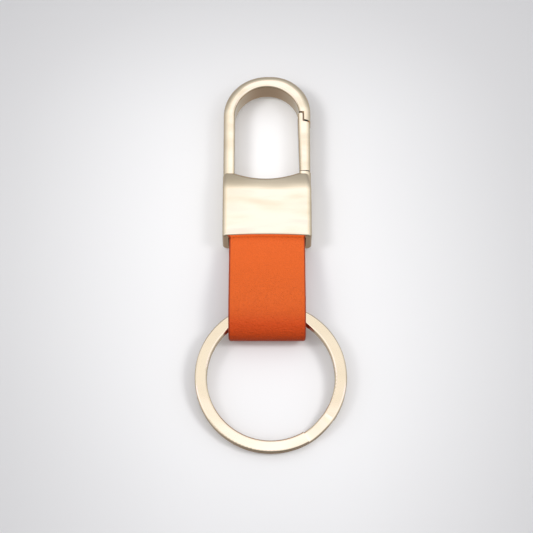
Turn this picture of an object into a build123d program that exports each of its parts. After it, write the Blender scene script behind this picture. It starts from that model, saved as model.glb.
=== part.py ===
from build123d import *
import os
from math import acos, asin, atan2, cos, degrees, radians, sin, sqrt

# Carabiner keyring lying flat: a cast snap hook with a spring gate, a leather strap loop and a
# flat split ring. Millimetres. The origin is the centre of the block's flat back face, which
# rests at z = 0; +Y runs towards the top of the hook, +X towards the gate, +Z up.

# Block, the hollow body of the hook
block_width = 18.0
block_depth = 7.1
block_bottom = -7.25        # y of the mouth's corners
mouth_arch = 0.3            # rise of the mouth's front and back edges at the middle
block_top = 7.2             # y of the two top corners
saddle_low = 5.75           # y of the lowest point of the concave top edge
saddle_x = -0.3             # x of that point
saddle_radius = 15.4
saddle_blend = 2.5          # rounding where the saddle meets the corners
top_roll = 0.95             # rounding of the front and back faces into the saddle
taper_start = 2.9           # y where the front and back faces start to bow inwards
taper_radius = 9.0          # of that bow, which ends just below the hook's bar
side_round = 1.0            # rounding of the front and back faces into the sides
mouth_round = 0.45          # rounding of the mouth's front and back edges
corner_in = 0.55            # how far the gate-side corner leans in at its top
corner_start = 2.6          # y where that lean starts
mid_z = block_depth / 2

# Slot in the block that takes the ends of the strap
slot_width = 15.6
slot_depth = 4.5
slot_roof = -0.6

# Hook: a U, a little thicker at its top and squarer on the gate's side
arch_outer = 8.95
arch_inner = 6.65
arch_y = 20.5               # centre of the outer curve
arch_flat = 0.8             # straight run at the top, before the tighter curve on the gate's side
opening_y = 20.03           # centre of the inner curve
hook_depth = 5.1
hook_low = mid_z - hook_depth / 2
hook_high = mid_z + hook_depth / 2
outer_round = 1.35
inner_round = 0.5
leg_root = 2.0              # y inside the block where the leg starts

# Nose, the stepped end of the arch, and the gate that closes against it
nose_wall_x = 7.65
nose_step_y = 21.05
nose_lip_in_y = 19.2
nose_lip_out_y = 18.9
gate_gap = 0.35
tongue_outer_x = nose_wall_x - gate_gap
tongue_top_y = nose_step_y - gate_gap - 0.03
shoulder_in_y = nose_lip_in_y - gate_gap
shoulder_out_y = nose_lip_out_y - gate_gap
gate_in_low_x = 6.62
gate_in_high_x = 6.3
gate_out_x = 8.83
cheek_top = 7.5             # y of the cheeks that carry the gate
foot_gap = 0.15
gate_foot = cheek_top + foot_gap
foot_relief_gap = 0.07      # cut into the saddle's lip for the foot's swing
gate_round = 0.3            # rounding of the tongue, the shoulder and the foot
gate_outer_round = 0.9      # rounding of the gate's long edges, away from the hook's opening
gate_inner_round = 0.75     # and beside it

# Hinge of the gate: tang, eye and toe
hinge_x = 7.2
hinge_y = 4.2
open_deg = 22
pin_radius = 0.6
pin_back = 0.1              # the pin's end sits this far below the back face
pin_length = 6.2
running_gap = 0.04
eye_radius = 1.15
tang_depth = 2.4
tang_gap = 0.1
tang_in_x = 6.85
toe_reach = 2.5
toe_half = 0.5

# Spring under the toe
spring_x = 5.25
spring_foot = 0.21
spring_bore = 0.85
spring_radius = 0.62        # radius of the coil's centre line
spring_wire = 0.11          # radius of the wire
spring_turns = 6

# Strap: a leather band folded round the ring, both ends held in the block
strap_width = 15.3
leather = 0.75
lining = 0.40
strap_thick = leather + lining
strap_clear = 0.05          # strap end to slot wall
ring_room = 3.2             # inner radius of the fold
fold_radius = ring_room + strap_thick
fold_y = -24.1
fold_z = fold_radius
swing_y = fold_y + 0.28     # the ring turns about this line, at the fold's height
flex_y = -7.9               # where the strap bends, just outside the mouth
flex_radius = 2.15          # half the strap's thickness there
tail_clear = 0.25           # between the bending strap and its held ends
tail_top = slot_roof - 0.15
spacer_low = -5.2
strap_pin_x = 4.6
strap_pin_y = -3.3
strap_edge = 0.25           # rounding of the cut edges

# Split ring: two flat turns joined by a short ramp
ring_outer = 15.0
ring_inner = 12.6
wire_depth = 1.10
turn_gap = 0.04
ring_depth = 2 * wire_depth + turn_gap
ring_offset = 0.73          # the ring hangs this far to the gate's side
ramp_from_deg = -60
ramp_to_deg = -34
wire_round = 0.4
edge_reach = strap_width / 2 + ring_offset
ring_in_strap = (ring_outer + sqrt(ring_inner**2 - edge_reach**2)) / 2


def at_height(z):
    return Plane((0, 0, z))


def side_plane(x):
    """Sketch plane whose local x, y are the part's Y, Z."""
    return Plane(origin=(x, 0, 0), x_dir=(0, 1, 0), z_dir=(1, 0, 0))


def on_level(z):
    """Picks the edges that lie at one height."""
    def flat(edge):
        box = edge.bounding_box()
        return abs(box.min.Z - z) < 1e-3 and abs(box.max.Z - z) < 1e-3

    return flat


def across(edge):
    """Picks the block's edges that run across its front and back."""
    box = edge.bounding_box()
    return box.max.X - box.min.X > 0.1 and box.max.X - box.min.X > box.max.Y - box.min.Y


def along_side(edge):
    """Picks the long edges where the block's front and back meet its sides."""
    box = edge.bounding_box()
    near_side = abs(box.max.X) > block_width / 2 - corner_in - 0.1 or abs(box.min.X) > block_width / 2 - 0.1
    return near_side and box.max.Y - box.min.Y > 0.5 and box.max.X - box.min.X < corner_in + 0.1


def block_profile():
    """The block seen from the side: straight, then bowed in at the front and back to the top."""
    low = block_bottom - 1
    reach = block_top - taper_start
    drop = taper_radius - sqrt(taper_radius**2 - reach**2)
    outline = [
        Line((low, 0), (taper_start, 0)),
        TangentArc((taper_start, 0), (block_top, drop), tangent=(1, 0)),
        Line((block_top, drop), (block_top, block_depth - drop)),
        TangentArc((taper_start, block_depth), (block_top, block_depth - drop), tangent=(1, 0)),
        Line((taper_start, block_depth), (low, block_depth)),
        Line((low, block_depth), (low, 0)),
    ]
    return extrude(side_plane(-block_width) * make_face(Wire(outline)), 2 * block_width)


def block_shell():
    """The block's outside: saddle top, rolled front and back, eased sides and mouth."""
    half = block_width / 2
    chord = sqrt(saddle_radius**2 - (saddle_radius - block_top + saddle_low) ** 2)
    left_lip = (saddle_x - chord, block_top)
    right_lip = (saddle_x + chord, block_top)
    lean_x = half - corner_in
    outline = [
        Line((-half, block_top), (-half, block_bottom)),
        ThreePointArc((-half, block_bottom), (0, block_bottom + mouth_arch), (half, block_bottom)),
        Line((half, block_bottom), (half, corner_start)),
        TangentArc((half, corner_start), (lean_x, block_top), tangent=(0, 1)),
        Line((lean_x, block_top), right_lip),
        ThreePointArc(right_lip, (saddle_x, saddle_low), left_lip),
        Line(left_lip, (-half, block_top)),
    ]
    face = make_face(Wire(outline))
    lips = [v for v in face.vertices() if abs(v.Y - block_top) < 1e-6 and abs(v.X) < lean_x - 0.5]
    face = fillet(lips, saddle_blend)
    solid = extrude(at_height(0) * face, block_depth) & block_profile()
    top_edges = [e for e in solid.edges() if across(e) and e.bounding_box().min.Y > saddle_low - 0.2]
    solid = fillet(top_edges, top_roll)
    sides = [e for e in solid.edges() if along_side(e)]
    return fillet(sides, side_round)


def hook_section():
    """Section of the hook's bar on the gate's side, drawn in X and Z."""
    mid_x = (arch_outer + arch_inner) / 2
    bar = Plane.XZ * Pos(mid_x, mid_z) * Rectangle(arch_outer - arch_inner, hook_depth)
    outer = [v for v in bar.vertices() if v.X > mid_x]
    bar = fillet(outer, outer_round)
    inner = [v for v in bar.vertices() if v.X < arch_inner + 1e-6]
    return fillet(inner, inner_round)


def nose_cut():
    """Everything below the stepped end of the arch on the gate's side."""
    far = arch_outer + 1
    low = nose_lip_out_y - 3
    steps = Polyline(
        (arch_inner - 1, low),
        (arch_inner - 1, nose_step_y),
        (nose_wall_x, nose_step_y),
        (nose_wall_x, nose_lip_in_y),
        (far, nose_lip_out_y),
        (far, low),
        close=True,
    )
    return extrude(at_height(-1) * make_face(steps), block_depth + 2)


def bar_rims(solid, outside):
    """The bar's long edges on its front and back: the outside ones or those round the opening."""
    mid_x = (arch_outer + arch_inner) / 2
    picked = []
    for edge in solid.edges():
        middle = edge.position_at(0.5)
        above = max(middle.Y - opening_y, 0)
        reach = sqrt(middle.X**2 + above**2) - mid_x
        level = on_level(hook_low)(edge) or on_level(hook_high)(edge)
        if level and (reach > 0.5 if outside else reach < -0.5):
            picked.append(edge)
    return picked


def hook_bar():
    """Left leg, arch and nose."""
    top = arch_y + arch_outer
    corner = arch_outer - arch_flat
    slant = sqrt(0.5)
    nose_low = nose_lip_out_y - 1
    outline = [
        Line((-arch_outer, leg_root), (-arch_outer, arch_y)),
        ThreePointArc((-arch_outer, arch_y), (-arch_outer * slant, arch_y + arch_outer * slant), (0, top)),
        Line((0, top), (arch_flat, top)),
        ThreePointArc(
            (arch_flat, top),
            (arch_flat + corner * slant, top - corner + corner * slant),
            (arch_outer, top - corner),
        ),
        Line((arch_outer, top - corner), (arch_outer, nose_low)),
        Line((arch_outer, nose_low), (arch_inner, nose_low)),
        Line((arch_inner, nose_low), (arch_inner, opening_y)),
        ThreePointArc((arch_inner, opening_y), (0, opening_y + arch_inner), (-arch_inner, opening_y)),
        Line((-arch_inner, opening_y), (-arch_inner, leg_root)),
        Line((-arch_inner, leg_root), (-arch_outer, leg_root)),
    ]
    bar = extrude(at_height(hook_low) * make_face(Wire(outline)), hook_depth)
    bar = fillet(bar_rims(bar, True), outer_round)
    bar = fillet(bar_rims(bar, False), inner_round)
    return bar - nose_cut()


def cheeks():
    """The short stub of bar that stands on the block and carries the gate's pin."""
    at_root = Pos(0, cheek_top, 0) * hook_section()
    return extrude(at_root, cheek_top - corner_start, dir=(0, -1, 0))


def hinge_pocket():
    """Room for the tang and the toe over the whole swing of the gate."""
    stem_out = hinge_x + eye_radius + tang_gap
    swing = radians(open_deg)
    stem_in = tang_in_x - hinge_x - tang_gap
    above = 4.2
    lean_low = (hinge_x + stem_in * cos(swing), hinge_y + stem_in * sin(swing))
    lean_high = (
        hinge_x + stem_in * cos(swing) - above * sin(swing),
        hinge_y + stem_in * sin(swing) + above * cos(swing),
    )
    stem = make_face(
        Polyline(
            (stem_out, hinge_y),
            (stem_out, lean_high[1]),
            lean_high,
            lean_low,
            (hinge_x, hinge_y - toe_half),
            close=True,
        )
    )
    reach = toe_reach + 0.18
    half = toe_half + 0.12
    swung_x = hinge_x - reach * cos(swing) + half * sin(swing)
    swung_y = hinge_y - reach * sin(swing) - half * cos(swing)
    toe = make_face(
        Polyline(
            (hinge_x, hinge_y + half),
            (hinge_x - reach, hinge_y + half),
            (hinge_x - reach, hinge_y - half),
            (swung_x, swung_y),
            (hinge_x + half * sin(swing), hinge_y - half * cos(swing)),
            close=True,
        )
    )
    eye = Pos(hinge_x, hinge_y) * Circle(eye_radius + 0.12)
    depth = tang_depth + 2 * tang_gap
    return extrude(at_height(mid_z - depth / 2) * (stem + toe + eye), depth)


def spring_hole():
    """Blind hole for the spring, from the toe's pocket down."""
    base = Plane(origin=(spring_x, spring_foot - 0.01, mid_z), z_dir=(0, 1, 0))
    return extrude(base * Circle(spring_bore), hinge_y - toe_half - spring_foot + 0.1)


def foot_relief():
    """Shallow arc that lets the gate's foot pass over the lip of the saddle."""
    inside = gate_foot - hinge_y - foot_relief_gap
    ring = Circle(inside + 1.5) - Circle(inside)
    wedge = make_face(Polyline((0, 0), (-0.7, 5), (-5, 5), (0, 0)))
    depth = hook_depth + 2 * tang_gap
    arc = at_height(mid_z - depth / 2) * Pos(hinge_x, hinge_y) * (ring & wedge)
    return extrude(arc, depth, dir=(0, 0, 1))


def pin_hole(x, y):
    return extrude(at_height(-1) * Pos(x, y) * Circle(pin_radius), 1 + pin_back + pin_length)


def make_hook_frame():
    roof = slot_roof - block_bottom + 2
    slot = Pos(0, slot_roof - roof / 2, mid_z) * Box(slot_width, roof, slot_depth)
    flat = [e for e in (block_shell() - slot).edges() if on_level(0)(e) or on_level(block_depth)(e)]
    mouth_high = block_bottom + mouth_arch + 0.1
    body = fillet([e for e in flat if e.bounding_box().max.Y < mouth_high], mouth_round)
    body = body + hook_bar() + cheeks()
    body = body - hinge_pocket() - foot_relief() - spring_hole() - pin_hole(hinge_x, hinge_y)
    for side in (-1, 1):
        body = body - pin_hole(side * strap_pin_x, strap_pin_y)
    return body


def long_rims(solid):
    """The gate's long edges on its front and back faces."""
    flat = [e for e in solid.edges() if on_level(hook_low)(e) or on_level(hook_high)(e)]
    return [e for e in flat if e.length > 8]


def make_gate():
    """Bar with a tongue that tucks behind the nose, and a tang with its toe."""
    bar = Polyline(
        (gate_in_low_x, gate_foot),
        (gate_out_x, gate_foot),
        (gate_out_x, shoulder_out_y),
        (tongue_outer_x, shoulder_in_y),
        (tongue_outer_x, tongue_top_y),
        (gate_in_high_x, tongue_top_y),
        close=True,
    )
    face = make_face(bar)
    notch = (tongue_outer_x, shoulder_in_y)
    corners = [v for v in face.vertices() if abs(v.X - notch[0]) + abs(v.Y - notch[1]) > 0.01]
    solid = extrude(at_height(hook_low) * face, hook_depth)
    solid = fillet([e for e in long_rims(solid) if e.center().X > nose_wall_x], gate_outer_round)
    solid = fillet([e for e in long_rims(solid) if e.center().X < gate_in_low_x], gate_inner_round)
    around = Pos(nose_wall_x, (gate_foot + tongue_top_y) / 2) * Rectangle(6, tongue_top_y - gate_foot + 6)
    spare = at_height(0) * (around - fillet(corners, gate_round))
    solid = solid - extrude(spare, block_depth, dir=(0, 0, 1))
    overlap = 0.4
    stem = make_face(
        Polyline(
            (tang_in_x, hinge_y),
            (hinge_x + eye_radius, hinge_y),
            (hinge_x + eye_radius, gate_foot + overlap),
            (tang_in_x, gate_foot + overlap),
            close=True,
        )
    )
    toe = Pos(hinge_x - toe_reach / 2, hinge_y) * Rectangle(toe_reach, 2 * toe_half)
    tang = stem + toe + Pos(hinge_x, hinge_y) * Circle(eye_radius)
    tang = tang - Pos(hinge_x, hinge_y) * Circle(pin_radius + running_gap)
    return solid + extrude(at_height(mid_z - tang_depth / 2) * tang, tang_depth)


def drive_pin(x, y):
    shaft = extrude(at_height(pin_back) * Pos(x, y) * Circle(pin_radius), pin_length)
    return chamfer(shaft.edges().filter_by(GeomType.CIRCLE).sort_by(Axis.Z)[0], 0.12)


def make_gate_spring():
    top = hinge_y - toe_half - spring_wire - 0.01
    low = spring_foot + spring_wire + 0.02
    coil = Helix(pitch=(top - low) / spring_turns, height=top - low, radius=spring_radius)
    wire = Plane(origin=coil @ 0, z_dir=coil % 0) * Circle(spring_wire)
    along_y = Plane(origin=(spring_x, low, mid_z), z_dir=(0, 1, 0))
    return along_y * sweep(wire, path=coil, is_frenet=True)


def strap_layer(start, thick):
    """One layer of the folded strap: its outer surface lies start inside the outermost one."""
    lean_y = flex_y - fold_y
    away = 3.0              # past the bend, trimmed off by the round end
    layer = []
    for side in (1, -1):
        lean_z = mid_z + side * flex_radius - fold_z
        reach = sqrt(lean_y**2 + lean_z**2)
        angle = atan2(lean_z, lean_y) + side * acos(fold_radius / reach)
        normal = Vector(cos(angle), sin(angle))
        along = Vector(side * sin(angle), -side * cos(angle))
        outer = fold_radius - start
        touch = [Vector(fold_y, fold_z) + normal * r for r in (outer, outer - thick)]
        layer.append([touch, [t + along * (reach + away) for t in touch]])
    (top, top_end), (low, low_end) = layer
    outer = fold_radius - start
    inner = outer - thick
    profile = Wire([
        Line(top_end[0], top[0]),
        ThreePointArc(top[0], Vector(fold_y - outer, fold_z), low[0]),
        Line(low[0], low_end[0]),
        Line(low_end[0], low_end[1]),
        Line(low_end[1], low[1]),
        ThreePointArc(low[1], Vector(fold_y - inner, fold_z), top[1]),
        Line(top[1], top_end[1]),
        Line(top_end[1], top_end[0]),
    ])
    free = Pos(flex_y - 20, mid_z) * Rectangle(40, 40) + Pos(flex_y, mid_z) * Circle(flex_radius)
    face = make_face(profile) & free
    return extrude(side_plane(-strap_width / 2) * face, strap_width)


def make_strap_leather():
    """The outer layer, its two cut sides rounded off along the outside."""
    solid = strap_layer(0, leather)

    def outside(edge):
        middle = edge.position_at(0.5)
        bend = Vector(0, middle.Y - fold_y, middle.Z - fold_z).length
        on_fold = edge.geom_type == GeomType.CIRCLE and abs(bend - fold_radius) < 1e-3
        straight = edge.geom_type == GeomType.LINE and edge.length > 10 and abs(middle.Z - mid_z) > 2.5
        return on_fold or straight

    rims = [e for e in solid.edges() if abs(abs(e.center().X) - strap_width / 2) < 1e-3 and outside(e)]
    return fillet(rims, strap_edge)


def make_strap_lining():
    return strap_layer(leather, lining)


def tail_block(low, high):
    """Solid filling the slot between two heights, above the bending end of the strap."""
    long = tail_top - flex_y
    body = Pos(0, tail_top - long / 2, (low + high) / 2) * Box(strap_width, long, high - low)
    bend = side_plane(-slot_width / 2) * Pos(flex_y, mid_z) * Circle(flex_radius + tail_clear)
    body = body - extrude(bend, slot_width)
    for side in (-1, 1):
        hole = at_height(0) * Pos(side * strap_pin_x, strap_pin_y) * Circle(pin_radius)
        body = body - extrude(hole, block_depth)
    return body


def make_strap_tails():
    gap = (block_depth - slot_depth) / 2 + strap_clear
    front = tail_block(block_depth - gap - strap_thick, block_depth - gap)
    back = tail_block(gap, gap + strap_thick)
    return Compound(children=[front, back])


def make_strap_spacer():
    half = slot_depth / 2 - strap_clear - strap_thick
    body = tail_block(mid_z - half, mid_z + half)
    keep = Pos(0, (tail_top + spacer_low) / 2, mid_z) * Box(strap_width, tail_top - spacer_low, slot_depth)
    return body & keep


def wire_section(angle, level):
    """The flat wire's section on the ring's own axes, at an angle and a height."""
    turn = Plane(origin=(0, 0, 0), x_dir=(cos(radians(angle)), sin(radians(angle)), 0),
                 z_dir=(sin(radians(angle)), -cos(radians(angle)), 0))
    mid = (ring_outer + ring_inner) / 2
    return turn * Pos(mid, level) * RectangleRounded(ring_outer - ring_inner, wire_depth, wire_round)


def make_split_ring():
    """Two flat turns and their ramp, through the fold, the far rim resting at z = 0."""
    rise = wire_depth + turn_gap
    span = 360 - (ramp_to_deg - ramp_from_deg)
    low = revolve(wire_section(ramp_to_deg, -rise / 2), Axis.Z, span)
    high = revolve(wire_section(ramp_to_deg, rise / 2), Axis.Z, span)
    stations = 7
    sections = []
    for i in range(stations):
        part = i / (stations - 1)
        angle = ramp_from_deg + part * (ramp_to_deg - ramp_from_deg)
        climb = part * part * (3 - 2 * part) - 0.5
        sections.append(wire_section(angle, climb * rise))
    ring = low + loft(sections) + high
    lever = ring_in_strap + ring_outer
    tilt = asin(fold_z / sqrt(lever**2 + (ring_depth / 2) ** 2)) - atan2(ring_depth / 2, lever)
    return Pos(ring_offset, swing_y, fold_z) * Rot(X=degrees(tilt)) * Pos(0, -ring_in_strap, 0) * ring


os.makedirs("parts", exist_ok=True)
nodes = {
    "hook_frame": make_hook_frame(),
    "gate": make_gate(),
    "gate_pin": drive_pin(hinge_x, hinge_y),
    "gate_spring": make_gate_spring(),
    "strap_leather": make_strap_leather(),
    "strap_lining": make_strap_lining(),
    "strap_tails": make_strap_tails(),
    "strap_spacer": make_strap_spacer(),
    "strap_pins": Compound(children=[drive_pin(side * strap_pin_x, strap_pin_y) for side in (-1, 1)]),
    "split_ring": make_split_ring(),
}
for name, shape in nodes.items():
    export_step(shape, f"parts/{name}.step")
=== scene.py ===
import math

import bmesh
import bpy
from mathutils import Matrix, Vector


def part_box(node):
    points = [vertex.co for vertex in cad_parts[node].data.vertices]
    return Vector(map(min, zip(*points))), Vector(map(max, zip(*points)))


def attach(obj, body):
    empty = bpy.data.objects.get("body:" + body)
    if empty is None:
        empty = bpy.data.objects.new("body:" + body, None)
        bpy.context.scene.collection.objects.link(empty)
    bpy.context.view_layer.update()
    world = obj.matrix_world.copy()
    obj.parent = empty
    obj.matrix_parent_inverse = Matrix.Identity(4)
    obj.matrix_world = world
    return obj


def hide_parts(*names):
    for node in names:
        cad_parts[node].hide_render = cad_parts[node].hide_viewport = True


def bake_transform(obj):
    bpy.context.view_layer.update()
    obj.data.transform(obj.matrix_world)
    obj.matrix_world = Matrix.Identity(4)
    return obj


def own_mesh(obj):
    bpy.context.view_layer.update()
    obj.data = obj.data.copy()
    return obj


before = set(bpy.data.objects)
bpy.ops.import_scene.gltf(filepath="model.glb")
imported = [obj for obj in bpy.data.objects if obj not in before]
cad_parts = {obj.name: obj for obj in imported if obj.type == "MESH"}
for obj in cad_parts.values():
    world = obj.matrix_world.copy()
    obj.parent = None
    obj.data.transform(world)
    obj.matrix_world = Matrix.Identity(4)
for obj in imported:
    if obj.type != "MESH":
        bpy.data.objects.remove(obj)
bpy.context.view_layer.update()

MM = 0.001

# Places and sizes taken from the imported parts
block_lo, block_hi = (Vector(c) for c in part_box("hook_frame"))
strap_lo, strap_hi = (Vector(c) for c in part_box("strap_leather"))
lining_lo = Vector(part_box("strap_lining")[0])
tails_lo, tails_hi = (Vector(c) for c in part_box("strap_tails"))
mouth_y = block_lo.y
mid_z = (block_lo.z + block_hi.z) / 2
strap_width = strap_hi.x - strap_lo.x
fold_radius = (strap_hi.z - strap_lo.z) / 2
fold_y = strap_lo.y + fold_radius
fold_z = strap_lo.z + fold_radius
leather_thick = lining_lo.y - strap_lo.y
tail_half = (tails_hi.z - tails_lo.z) / 2

# Measures of the visual strap
lining_thick = 0.40 * MM
flex_half = tail_half - 0.03 * MM       # half its depth at the mouth, just inside the clamped ends'

# Where the plating's unevenness is taken from: it only moves the smudges and the painted reflection
# patches about
SMUDGE_AND_REFLECTION_PLACE = (0.031, 0.012, 0.0)


# ---------------------------------------------------------------- camera and stage

def look_camera():
    """Looks down on the keyring from a little towards the ring's end."""
    tilt = math.radians(22.0)
    distance = 0.400
    target = Vector((-0.00012, mouth_y - 6.72 * MM, block_hi.z))
    back = Vector((0, -math.sin(tilt), math.cos(tilt)))
    data = bpy.data.cameras.new("camera")
    data.sensor_width = 36.0
    data.lens = 135.6
    data.clip_start = 0.01
    data.clip_end = 10.0
    camera = bpy.data.objects.new("camera", data)
    camera.location = target + back * distance
    camera.rotation_mode = "QUATERNION"
    camera.rotation_quaternion = (-back).to_track_quat("-Z", "Y")
    bpy.context.scene.collection.objects.link(camera)
    bpy.context.scene.camera = camera
    bpy.context.scene.view_settings.view_transform = "Standard"


def node(tree, kind, **inputs):
    """New node with the named inputs set."""
    made = tree.nodes.new(kind)
    for name, value in inputs.items():
        made.inputs[name.replace("_", " ")].default_value = value
    return made


def ramp(tree, source, stops):
    """Colour ramp on a socket, through the given (place, colour) stops."""
    made = tree.nodes.new("ShaderNodeValToRGB")
    while len(made.color_ramp.elements) < len(stops):
        made.color_ramp.elements.new(0.5)
    for element, (place, colour) in zip(made.color_ramp.elements, stops):
        element.position = place
        element.color = (*colour, 1)
    tree.links.new(source, made.inputs["Fac"])
    return made


def new_material(name):
    """Material with nothing in it but a principled shader on its output."""
    material = bpy.data.materials.new(name)
    material.use_nodes = True
    tree = material.node_tree
    tree.nodes.clear()
    output = tree.nodes.new("ShaderNodeOutputMaterial")
    shader = tree.nodes.new("ShaderNodeBsdfPrincipled")
    tree.links.new(shader.outputs["BSDF"], output.inputs["Surface"])
    return material, tree, shader


def vector_math(tree, operation, first, second=None):
    """Vector Math node on a socket and, where needed, a socket or a fixed vector."""
    made = tree.nodes.new("ShaderNodeVectorMath")
    made.operation = operation
    tree.links.new(first, made.inputs[0])
    if isinstance(second, bpy.types.NodeSocket):
        tree.links.new(second, made.inputs[1])
    elif second is not None:
        made.inputs[1].default_value = second
    return made.outputs["Value" if operation == "LENGTH" else "Vector"]


def mix_colours(tree, blend, first, second, factor=None):
    """Mix node on a first socket and a second one, or a fixed colour."""
    made = tree.nodes.new("ShaderNodeMix")
    made.data_type = "RGBA"
    made.blend_type = blend
    made.inputs["Factor"].default_value = 1.0
    tree.links.new(first, made.inputs["A"])
    if isinstance(second, tuple):
        made.inputs["B"].default_value = (*second, 1)
    else:
        tree.links.new(second, made.inputs["B"])
    if factor is not None:
        tree.links.new(factor, made.inputs["Factor"])
    return made.outputs["Result"]


def floor_material():
    """Pale surface with a painted pool of light, brightest under the keyring and a little darker
    away from it, and with paler painted light inside the hook, where the hook's shade falls."""
    material, tree, shader = new_material("pale_floor")
    place = tree.nodes.new("ShaderNodeTexCoord")
    middle = (0, -24 * MM, 0)
    core = (13 * MM, 43 * MM, 1)
    fade = 70 * MM
    lengthwise = 1.25                   # how much faster it fades along the keyring
    away = vector_math(tree, "SUBTRACT", place.outputs["Object"], middle)
    away = vector_math(tree, "ABSOLUTE", away)
    away = vector_math(tree, "SUBTRACT", away, core)
    away = vector_math(tree, "MAXIMUM", away, (0, 0, 0))
    away = vector_math(tree, "MULTIPLY", away, (1 / fade, lengthwise / fade, 0))
    distance = vector_math(tree, "LENGTH", away)
    # Painted pool of light: the floor's colour is brightest under the keyring and fades away from
    # it
    shade = ramp(tree, distance, [
        (0.0, (0.848, 0.846, 0.836)), (0.10, (0.838, 0.836, 0.826)),
        (0.55, (0.747, 0.745, 0.736)), (1.0, (0.712, 0.71, 0.702)),
    ])
    # Painted light inside the hook: a paler colour that lifts the shade the hook casts on the floor
    patch_middle = (0, 15 * MM, 0)
    patch_size = (12 * MM, 16 * MM)
    near = vector_math(tree, "SUBTRACT", place.outputs["Object"], patch_middle)
    near = vector_math(tree, "MULTIPLY", near, (1 / patch_size[0], 1 / patch_size[1], 0))
    near = vector_math(tree, "LENGTH", near)
    painted_light_patch = ramp(tree, near, [(0.0, (1, 1, 1)), (0.35, (1, 1, 1)), (1.0, (0, 0, 0))])
    painted_light_colour = (0.975, 0.975, 0.965)
    mixed = mix_colours(tree, "MIX", shade.outputs["Color"], painted_light_colour, painted_light_patch.outputs["Color"])
    tree.links.new(mixed, shader.inputs["Base Color"])
    shader.inputs["Roughness"].default_value = 0.9
    shader.inputs["Specular IOR Level"].default_value = 0.0
    return material


def backdrop_material():
    material = bpy.data.materials.new("pale_backdrop")
    material.use_nodes = True
    tree = material.node_tree
    tree.nodes.clear()
    output = tree.nodes.new("ShaderNodeOutputMaterial")
    glow = node(tree, "ShaderNodeEmission", Color=(0.66, 0.665, 0.67, 1), Strength=1.0)
    tree.links.new(glow.outputs["Emission"], output.inputs["Surface"])
    return material


def add_object(name, mesh):
    made = bpy.data.objects.new(name, mesh)
    bpy.context.scene.collection.objects.link(made)
    return made


def make_stage():
    """Floor and a pale dome behind it, seen by the camera but not by the metal's reflections or
    the bounced light."""
    size = 2.4
    drop = -0.02 * MM
    mesh = bpy.data.meshes.new("floor")
    corners = [(-size, -size, drop), (size, -size, drop), (size, size, drop), (-size, size, drop)]
    mesh.from_pydata(corners, [], [(0, 1, 2, 3)])
    mesh.materials.append(floor_material())
    floor = add_object("floor", mesh)
    dome_mesh = bpy.data.meshes.new("backdrop")
    shape = bmesh.new()
    bmesh.ops.create_uvsphere(shape, u_segments=48, v_segments=24, radius=size)
    shape.to_mesh(dome_mesh)
    shape.free()
    dome_mesh.materials.append(backdrop_material())
    dome = add_object("backdrop", dome_mesh)
    dome.visible_shadow = False
    for piece in (floor, dome):
        piece.visible_glossy = False
        piece.visible_diffuse = False


def make_world():
    """Soft room that the metal mirrors: bright overhead and to the sides, dimmer past the hook's
    top and past the ring, brown below."""
    world = bpy.data.worlds.new("studio")
    bpy.context.scene.world = world
    world.use_nodes = True
    tree = world.node_tree
    tree.nodes.clear()
    output = tree.nodes.new("ShaderNodeOutputWorld")
    glow = tree.nodes.new("ShaderNodeBackground")
    place = tree.nodes.new("ShaderNodeTexCoord")
    split = tree.nodes.new("ShaderNodeSeparateXYZ")
    tree.links.new(place.outputs["Generated"], split.inputs["Vector"])

    def along(axis, stops):
        reach = node(tree, "ShaderNodeMapRange", From_Min=-1.0, From_Max=1.0)
        tree.links.new(split.outputs[axis], reach.inputs["Value"])
        return ramp(tree, reach.outputs["Result"], [((at + 1) / 2, colour) for at, colour in stops])

    def grey(value):
        return (value, value, value)

    height = along("Z", [
        (-1.0, grey(0.45)), (-0.3, grey(0.45)), (0.17, grey(0.62)), (0.50, grey(0.76)),
        (0.71, grey(0.86)), (0.87, grey(0.97)), (0.905, (1.0, 1.0, 1.09)), (0.94, (1.0, 1.0, 1.11)),
        (0.98, grey(1.0)),
    ])
    length = along("Y", [
        (-1.0, grey(0.25)), (-0.75, grey(0.45)), (-0.5, grey(0.92)), (-0.15, grey(0.95)),
        (0.0, (1.10, 1.08, 1.26)), (0.036, (1.12, 1.10, 1.32)), (0.058, (1.0, 1.0, 1.08)),
        (0.078, grey(0.83)), (0.16, grey(0.78)), (0.29, grey(0.80)), (0.345, grey(0.87)),
        (0.39, grey(1.0)), (0.44, grey(0.98)), (0.53, grey(0.78)), (0.62, grey(0.66)),
        (0.70, grey(0.58)), (0.85, grey(0.52)), (1.0, grey(0.50)),
    ])
    sky = mix_colours(tree, "MULTIPLY", height.outputs["Color"], length.outputs["Color"])
    ground = along("Y", [
        (-1.0, (0.10, 0.076, 0.062)), (-0.37, (0.225, 0.185, 0.160)), (0.37, (0.38, 0.365, 0.35)),
        (1.0, (0.42, 0.40, 0.38)),
    ])
    below = along("Z", [(-0.6, grey(1.0)), (0.08, grey(0.0))])
    room = mix_colours(tree, "MIX", sky, ground.outputs["Color"], below.outputs["Color"])
    tree.links.new(room, glow.inputs["Color"])
    glow.inputs["Strength"].default_value = 1.18
    tree.links.new(glow.outputs["Background"], output.inputs["Surface"])


def make_light(name, place, aim, power):
    """Soft spot that lights one end of the keyring and fades out before the other."""
    data = bpy.data.lights.new(name, "SPOT")
    data.energy = power
    data.shadow_soft_size = 42 * MM
    data.spot_size = math.radians(29)
    data.spot_blend = 1.0
    light = bpy.data.objects.new(name, data)
    light.location = place
    light.rotation_mode = "QUATERNION"
    light.rotation_quaternion = (Vector(aim) - Vector(place)).to_track_quat("-Z", "Y")
    light.visible_glossy = False
    bpy.context.scene.collection.objects.link(light)


# ---------------------------------------------------------------- materials

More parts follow.
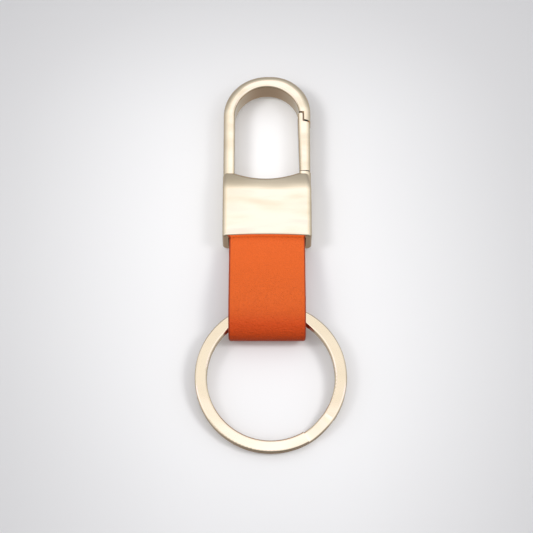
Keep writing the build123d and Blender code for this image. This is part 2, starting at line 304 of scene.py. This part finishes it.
def gold_metal(name, base, deep, rough, drift):
    """Polished champagne plating: smudges that are partly painted reflection patches, a
    hand-polished waviness, fine scratches, and painted shade darkened red-brown in the crevices."""
    material, tree, shader = new_material(name)
    place = tree.nodes.new("ShaderNodeTexCoord")

    def clouds(scale, detail, stretch=(1, 1, 1)):
        mapped = node(tree, "ShaderNodeMapping", Scale=stretch, Location=SMUDGE_AND_REFLECTION_PLACE)
        made = node(tree, "ShaderNodeTexNoise", Scale=scale, Detail=detail)
        tree.links.new(place.outputs["Object"], mapped.inputs["Vector"])
        tree.links.new(mapped.outputs["Vector"], made.inputs["Vector"])
        return made.outputs["Fac"]

    # Darker tan patches in the base colour: partly smudges on the plating, partly painted
    # reflection patches
    smudge_and_reflection = clouds(110.0, 5.0, (0.6, 1.9, 1.0))
    tint = ramp(tree, smudge_and_reflection, [(0.34, deep), (0.54, base)])
    # Painted shade: the base colour turns dark red-brown where ambient occlusion finds a crevice
    crevice = node(tree, "ShaderNodeAmbientOcclusion", Distance=0.6 * MM)
    crevice.samples = 6
    crevice.only_local = False
    closed = ramp(tree, crevice.outputs["AO"], [(0.12, (0.27, 0.07, 0.035)), (0.42, (1, 1, 1))])
    wear_and_painted_shade = mix_colours(tree, "MULTIPLY", tint.outputs["Color"], closed.outputs["Color"])
    tree.links.new(wear_and_painted_shade, shader.inputs["Base Color"])
    polish = node(tree, "ShaderNodeMapRange", From_Min=0.3, From_Max=0.7)
    polish.inputs["To Min"].default_value = rough * 1.5
    polish.inputs["To Max"].default_value = rough * 0.7
    tree.links.new(smudge_and_reflection, polish.inputs["Value"])
    tree.links.new(polish.outputs["Result"], shader.inputs["Roughness"])
    # Height and depth of the slow drift of hand polishing, of its ripples and of fine scratches
    layers = (
        (clouds(95.0, 1.0, (0.8, 1.7, 0.8)), drift),
        (clouds(420.0, 2.0, (0.6, 1.8, 1.0)), drift * 0.02),
        (clouds(5200.0, 2.0, (0.25, 1.6, 1.0)), 0.0010 * MM),
    )
    normal = None
    for height, depth in layers:
        bump = node(tree, "ShaderNodeBump", Strength=1.0, Distance=depth)
        tree.links.new(height, bump.inputs["Height"])
        if normal is not None:
            tree.links.new(normal, bump.inputs["Normal"])
        normal = bump.outputs["Normal"]
    tree.links.new(normal, shader.inputs["Normal"])
    shader.inputs["Metallic"].default_value = 1.0
    return material


def steel_metal():
    material, tree, shader = new_material("ground_steel")
    place = tree.nodes.new("ShaderNodeTexCoord")
    grain = node(tree, "ShaderNodeTexNoise", Scale=3000.0, Detail=3.0)
    tree.links.new(place.outputs["Object"], grain.inputs["Vector"])
    tint = ramp(tree, grain.outputs["Fac"], [(0.3, (0.50, 0.48, 0.44)), (0.7, (0.66, 0.64, 0.60))])
    tree.links.new(tint.outputs["Color"], shader.inputs["Base Color"])
    bump = node(tree, "ShaderNodeBump", Strength=0.2, Distance=0.01 * MM)
    tree.links.new(grain.outputs["Fac"], bump.inputs["Height"])
    tree.links.new(bump.outputs["Normal"], shader.inputs["Normal"])
    shader.inputs["Metallic"].default_value = 1.0
    shader.inputs["Roughness"].default_value = 0.32
    return material


def leather_material(name, dark, light, rough, cell, relief):
    """Fine-grained leather: small pebbles, pores between them and slightly uneven dye, with a
    deeper colour and a stronger grain where it is bent round the ring; the deeper colour is partly
    the leather's own and partly painted shade."""
    material, tree, shader = new_material(name)
    place = tree.nodes.new("ShaderNodeTexCoord")
    pebbles = node(tree, "ShaderNodeTexVoronoi", Scale=cell)
    pebbles.feature = "SMOOTH_F1"
    pores = node(tree, "ShaderNodeTexNoise", Scale=cell * 1.3, Detail=3.0, Roughness=0.6)
    dye = node(tree, "ShaderNodeTexNoise", Scale=cell * 0.22, Detail=5.0, Roughness=0.65)
    for texture in (pebbles, pores, dye):
        tree.links.new(place.outputs["Object"], texture.inputs["Vector"])
    colour = ramp(tree, dye.outputs["Fac"], [(0.30, dark), (0.70, light)])
    split = tree.nodes.new("ShaderNodeSeparateXYZ")
    tree.links.new(place.outputs["Object"], split.inputs["Vector"])
    # Painted shade on the fold, partly the leather's own deeper colour where bent: the colour
    # darkens towards the end of the fold
    bend = node(tree, "ShaderNodeMapRange", From_Min=fold_y + 3 * MM, From_Max=fold_y - 5 * MM)
    tree.links.new(split.outputs["Y"], bend.inputs["Value"])
    deeper = ramp(tree, bend.outputs["Result"], [
        (0.0, (1, 1, 1)), (0.20, (0.98, 0.95, 0.93)), (0.45, (0.88, 0.78, 0.70)),
        (0.675, (0.88, 0.60, 0.48)), (0.875, (0.93, 0.62, 0.55)),
    ])
    speckle = ramp(tree, pores.outputs["Fac"], [(0.38, (0.92, 0.895, 0.88)), (0.56, (1, 1, 1))])
    grained = mix_colours(tree, "MULTIPLY", colour.outputs["Color"], speckle.outputs["Color"])
    dyed_and_shaded = mix_colours(tree, "MULTIPLY", grained, deeper.outputs["Color"])
    tree.links.new(dyed_and_shaded, shader.inputs["Base Color"])
    wear_and_painted_shade = node(tree, "ShaderNodeMapRange", To_Min=rough - 0.06, To_Max=rough + 0.08)
    tree.links.new(pores.outputs["Fac"], wear_and_painted_shade.inputs["Value"])
    tree.links.new(wear_and_painted_shade.outputs["Result"], shader.inputs["Roughness"])
    raised = node(tree, "ShaderNodeMapRange", From_Min=mouth_y - 5 * MM, From_Max=fold_y + 3 * MM)
    raised.inputs["To Min"].default_value = relief * 0.45
    raised.inputs["To Max"].default_value = relief
    tree.links.new(split.outputs["Y"], raised.inputs["Value"])
    grain = node(tree, "ShaderNodeBump", Distance=0.20 * MM)
    tree.links.new(raised.outputs["Result"], grain.inputs["Strength"])
    grain.invert = True
    tree.links.new(pebbles.outputs["Distance"], grain.inputs["Height"])
    fine = node(tree, "ShaderNodeBump", Distance=0.20 * MM)
    tree.links.new(raised.outputs["Result"], fine.inputs["Strength"])
    tree.links.new(pores.outputs["Fac"], fine.inputs["Height"])
    tree.links.new(grain.outputs["Normal"], fine.inputs["Normal"])
    tree.links.new(fine.outputs["Normal"], shader.inputs["Normal"])
    shader.inputs["Specular IOR Level"].default_value = 0.22
    return material


# ---------------------------------------------------------------- strap

def ease(u):
    u = min(max(u, 0.0), 1.0)
    return u * u * (3 - 2 * u)


def strap_line(inset, steps_ply=60, steps_fold=64, steps_tail=8):
    """Points and outward normals of a strap surface that lies inset inside the outermost one."""
    tail_y = tails_hi.y - 1.0 * MM      # the clamped ends stop a little before the CAD's
    points = []

    def ply(y, side):
        u = (mouth_y - y) / (mouth_y - fold_y)
        half = flex_half + (fold_radius - flex_half) * ease(u)
        centre = mid_z + (fold_z - mid_z) * ease(u)
        return Vector((0, y, centre + side * half))

    top = [ply(tail_y + (mouth_y - tail_y) * i / steps_tail, 1) for i in range(steps_tail)]
    top += [ply(mouth_y + (fold_y - mouth_y) * i / steps_ply, 1) for i in range(steps_ply)]
    points += top
    for i in range(steps_fold + 1):
        angle = math.pi / 2 + math.pi * i / steps_fold
        along_y = fold_y + fold_radius * math.cos(angle)
        along_z = fold_z + fold_radius * math.sin(angle)
        points.append(Vector((0, along_y, along_z)))
    low = [ply(tail_y + (mouth_y - tail_y) * i / steps_tail, -1) for i in range(steps_tail)]
    low += [ply(mouth_y + (fold_y - mouth_y) * i / steps_ply, -1) for i in range(steps_ply)]
    points += low[::-1]
    rows = []
    for i, p in enumerate(points):
        run = points[min(i + 1, len(points) - 1)] - points[max(i - 1, 0)]
        out = -Vector((0, -run.z, run.y)).normalized()
        rows.append((p - out * inset, out))
    return rows


def sweep_strap(name, inset, profile):
    """Sweeps a closed profile, given as (across, depth, material) points, along the strap."""
    cap_material = 1
    rows = strap_line(inset)
    verts = []
    for p, out in rows:
        for across, depth, _ in profile:
            verts.append(p + Vector((across, 0, 0)) - out * depth)
    count = len(profile)
    faces = []
    slots = []
    for i in range(len(rows) - 1):
        for k in range(count):
            a, b = i * count + k, i * count + (k + 1) % count
            faces.append((a, b, b + count, a + count))
            slots.append(profile[k][2])
    faces.append(tuple(range(count))[::-1])
    slots.append(cap_material)
    last = (len(rows) - 1) * count
    faces.append(tuple(last + k for k in range(count)))
    slots.append(cap_material)
    mesh = bpy.data.meshes.new(name)
    mesh.from_pydata(verts, [], faces)
    for polygon, slot in zip(mesh.polygons, slots):
        polygon.use_smooth = True
        polygon.material_index = slot
    return add_object(name, mesh)


def leather_profile(width, thick):
    """Outer face with a faint creased line near each edge, rounded painted edges, and a flat
    bonded face."""
    half = width / 2
    edge = 0.5 * MM
    crease_at = 0.95 * MM
    crease_wide = 0.14 * MM
    crease_deep = 0.025 * MM
    points = []
    steps = 60
    for i in range(steps + 1):
        across = -half + edge + (width - 2 * edge) * i / steps
        gap = half - abs(across)
        crease = crease_deep * math.exp(-((gap - crease_at) / crease_wide) ** 2)
        points.append((across, crease, 0))
    turn = 12
    unpainted = 3                       # steps of the rounded edge that keep the face's leather
    for i in range(1, turn + 1):
        angle = math.pi / 2 * i / turn
        paint = 1 if i > unpainted else 0
        points.append((half - edge + edge * math.sin(angle), edge - edge * math.cos(angle), paint))
    right = points[steps + 1:]
    points += [(half, thick, 1), (-half, thick, 1)]
    points += [(-across, depth, paint) for across, depth, paint in reversed(right)]
    return points


def lining_profile(width, thick):
    half = width / 2
    edge = 0.12 * MM
    points = [(-half, 0, 0), (half, 0, 0), (half, thick - edge, 0), (half - edge, thick, 0)]
    steps = 20
    for i in range(1, steps):
        points.append((half - edge - (width - 2 * edge) * i / steps, thick, 0))
    points += [(-half + edge, thick, 0), (-half, thick - edge, 0)]
    return points


def make_strap(materials):
    lining_width = strap_width - 0.1 * MM
    outer = sweep_strap("strap_band", 0.0, leather_profile(strap_width, leather_thick))
    inner = sweep_strap("strap_inside", leather_thick, lining_profile(lining_width, lining_thick))
    outer.data.materials.append(materials["leather"])
    outer.data.materials.append(materials["edge"])
    inner.data.materials.append(materials["lining"])
    # The bend starts just outside the mouth, so that no part of it turns inside the slot
    for piece in (outer, inner):
        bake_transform(piece)
    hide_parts("strap_leather", "strap_tails")
    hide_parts("strap_lining")


def make_spring(finish):
    """The gate's spring as a piece of its own, riding with the hook."""
    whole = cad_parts["gate_spring"]
    mesh = whole.data.copy()
    mesh.transform(whole.matrix_world)
    coil = add_object("spring_coil", mesh)
    coil.data.materials.clear()
    coil.data.materials.append(finish)
    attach(coil, "hook")
    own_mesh(coil)
    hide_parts("gate_spring")


# ---------------------------------------------------------------- build

look_camera()
make_stage()
make_world()
make_light("key_left", place=(-0.13, -0.02, 0.21), aim=(0, 0.014, 0), power=0.90)
make_light("key_right", place=(0.13, -0.05, 0.21), aim=(0, -0.038, 0), power=0.86)

finishes = {
    "gold": gold_metal(
        "champagne_casting", base=(1.0, 0.868, 0.672), deep=(0.945, 0.80, 0.595),
        rough=0.06, drift=0.32 * MM),
    "ring": gold_metal(
        "champagne_wire", base=(0.985, 0.845, 0.64), deep=(0.955, 0.81, 0.605),
        rough=0.06, drift=0.05 * MM),
    "steel": steel_metal(),
    "leather": leather_material(
        "orange_leather", dark=(0.735, 0.124, 0.018), light=(0.765, 0.131, 0.020),
        rough=0.46, cell=3400.0, relief=0.9),
    # Edge paint, made darker than a plain paint so that it also stands in as painted shade on the
    # strap's rounded edges
    "edge": leather_material(
        "edge_paint_and_shade", dark=(0.36, 0.050, 0.014), light=(0.42, 0.062, 0.018),
        rough=0.40, cell=2600.0, relief=0.12),
    "lining": leather_material(
        "lining_leather", dark=(0.44, 0.065, 0.018), light=(0.52, 0.085, 0.025),
        rough=0.75, cell=5200.0, relief=0.5),
}
node_finish = {
    "hook_frame": "gold", "gate": "gold", "gate_pin": "steel", "strap_pins": "steel",
    "strap_spacer": "lining", "split_ring": "ring",
}
for name, finish in node_finish.items():
    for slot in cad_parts[name].material_slots:
        slot.material = finishes[finish]
make_strap(finishes)
make_spring(finishes["steel"])
